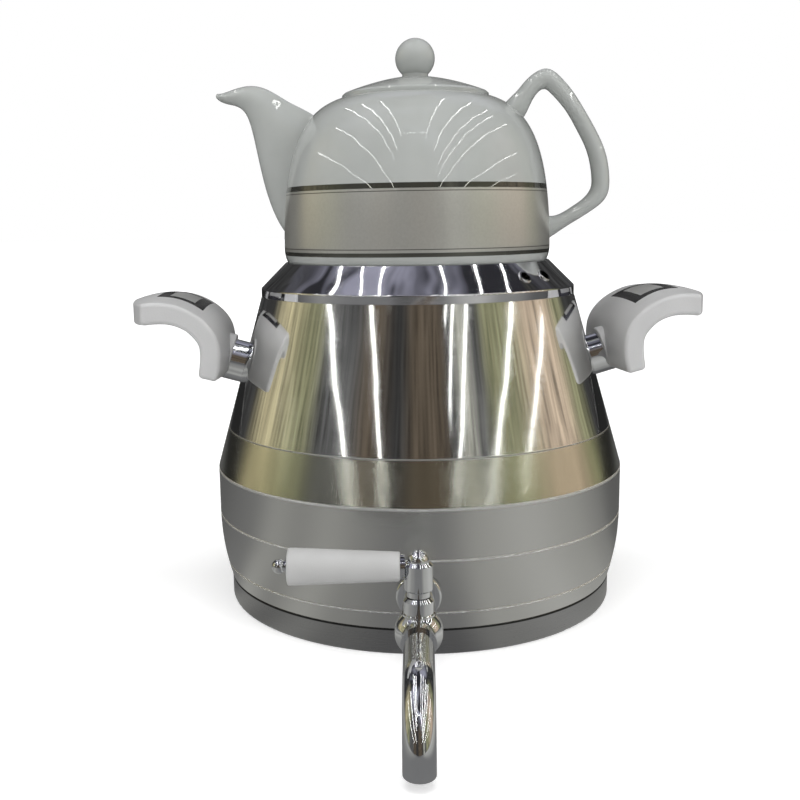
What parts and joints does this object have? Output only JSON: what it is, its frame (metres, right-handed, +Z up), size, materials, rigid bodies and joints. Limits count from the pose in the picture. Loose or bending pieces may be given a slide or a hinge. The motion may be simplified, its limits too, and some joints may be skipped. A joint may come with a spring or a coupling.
{
  "type": "samovar",
  "caption": "Stove-top samovar: steel kettle with a ball-valve tap and two side grips, a steamer collar and a lidded porcelain teapot on top.",
  "frame": {"origin": "middle of the base underside, on the surface the kettle stands on", "axes": "+Z up; the tap points along -Y; the teapot spout points along -X and its handle along +X"},
  "size_m": [0.3032, 0.3373, 0.2967],
  "materials": {
    "brushed_steel": "stainless steel brushed round the body, with bright pressed lines",
    "polished_steel": "stainless steel polished to a mirror",
    "base_steel": "brushed stainless steel cap pressed over the base",
    "inner_steel": "plain stainless steel, hidden",
    "aluminium": "plain, sealed inside the base",
    "porcelain": "glossy white glaze with a wide satin grey band between two dark platinum lines",
    "chrome": "bright chrome plating on brass",
    "brass": "plain turned brass, hidden",
    "silicone": "food-grade silicone",
    "ptfe": "white fluoropolymer",
    "lever_white": "satin white plastic",
    "grip_plastic": "satin light grey heat-resistant plastic",
    "inlay_black": "glossy black inlay",
    "panel_silver": "blank satin silver plate"
  },
  "bodies": {
    "kettle": {"base_cap": "base_steel", "base_disc": "aluminium", "handle_bolt_left": "inner_steel", "handle_bolt_right": "inner_steel", "handle_ferrule_left": "chrome", "handle_ferrule_right": "chrome", "handle_grip_left": "grip_plastic", "handle_grip_right": "grip_plastic", "handle_inlay_left": "inlay_black", "handle_inlay_right": "inlay_black", "handle_panel_left": "panel_silver", "handle_panel_right": "panel_silver", "handle_stud_left": "inner_steel", "handle_stud_right": "inner_steel", "lower_shell": "brushed_steel", "seat_retainer": "brass", "stem_packing": "ptfe", "tap_body": "chrome", "tap_bonnet": "chrome", "tap_inner_gasket": "silicone", "tap_locknut": "brass", "tap_outer_gasket": "silicone", "tap_spout": "chrome", "tap_washer": "inner_steel", "upper_shell": "polished_steel", "valve_seats": "ptfe"},
    "tap_lever": {"lever_hub": "chrome", "lever_grub_screw": "inner_steel", "lever_washer": "chrome", "lever_rod": "inner_steel", "lever_grip": "lever_white", "lever_finial": "chrome", "valve_stem": "brass", "valve_ball": "chrome"},
    "steamer_collar": {"collar_shell": "polished_steel", "collar_plug": "inner_steel"},
    "teapot": {"teapot_body": "porcelain", "teapot_spout": "porcelain", "teapot_handle": "porcelain"},
    "lid": {"teapot_lid": "porcelain"}
  },
  "joints": [
    {"name": "tap_turn", "type": "hinge", "parent": "kettle", "child": "tap_lever", "pos_m": [0, -0.15399, 0.05], "axis": [0, 0, 1], "range_deg": [0, 90]},
    {"name": "collar_lift", "type": "slide", "parent": "kettle", "child": "steamer_collar", "axis": [0, 0, 1], "range_m": [0, 0.1]},
    {"name": "teapot_lift", "type": "slide", "parent": "steamer_collar", "child": "teapot", "axis": [0, 0, 1], "range_m": [0, 0.08]},
    {"name": "lid_lift", "type": "slide", "parent": "teapot", "child": "lid", "axis": [0, 0, 1], "range_m": [0, 0.06]}
  ]
}
